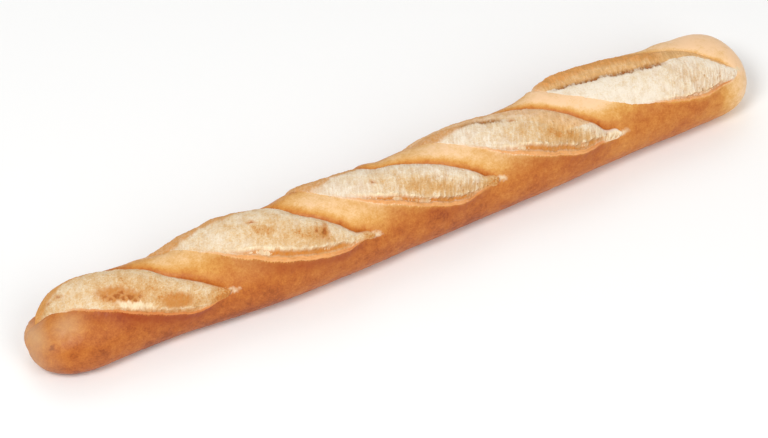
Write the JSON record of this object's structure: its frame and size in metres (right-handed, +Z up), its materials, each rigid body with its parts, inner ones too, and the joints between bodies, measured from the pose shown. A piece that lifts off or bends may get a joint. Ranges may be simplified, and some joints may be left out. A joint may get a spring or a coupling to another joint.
{
  "type": "baguette",
  "caption": "Long crusty loaf of bread with a flat underside and slanting slashes torn open across its top, showing pale crumb.",
  "frame": {"origin": "centre of the loaf's bounding box, on the surface that it rests on", "axes": "+X along the loaf towards its right end as pictured, +Y to its back, +Z up"},
  "size_m": [0.5606, 0.0762, 0.056],
  "materials": {
    "crust": "golden brown baked crust with a faint satin sheen, paler on top and darker along the torn lips",
    "crumb": "pale cream torn crumb inside the slashes, dull, streaked and pitted"
  },
  "bodies": {
    "root": {"baguette": "crust"}
  },
  "joints": []
}
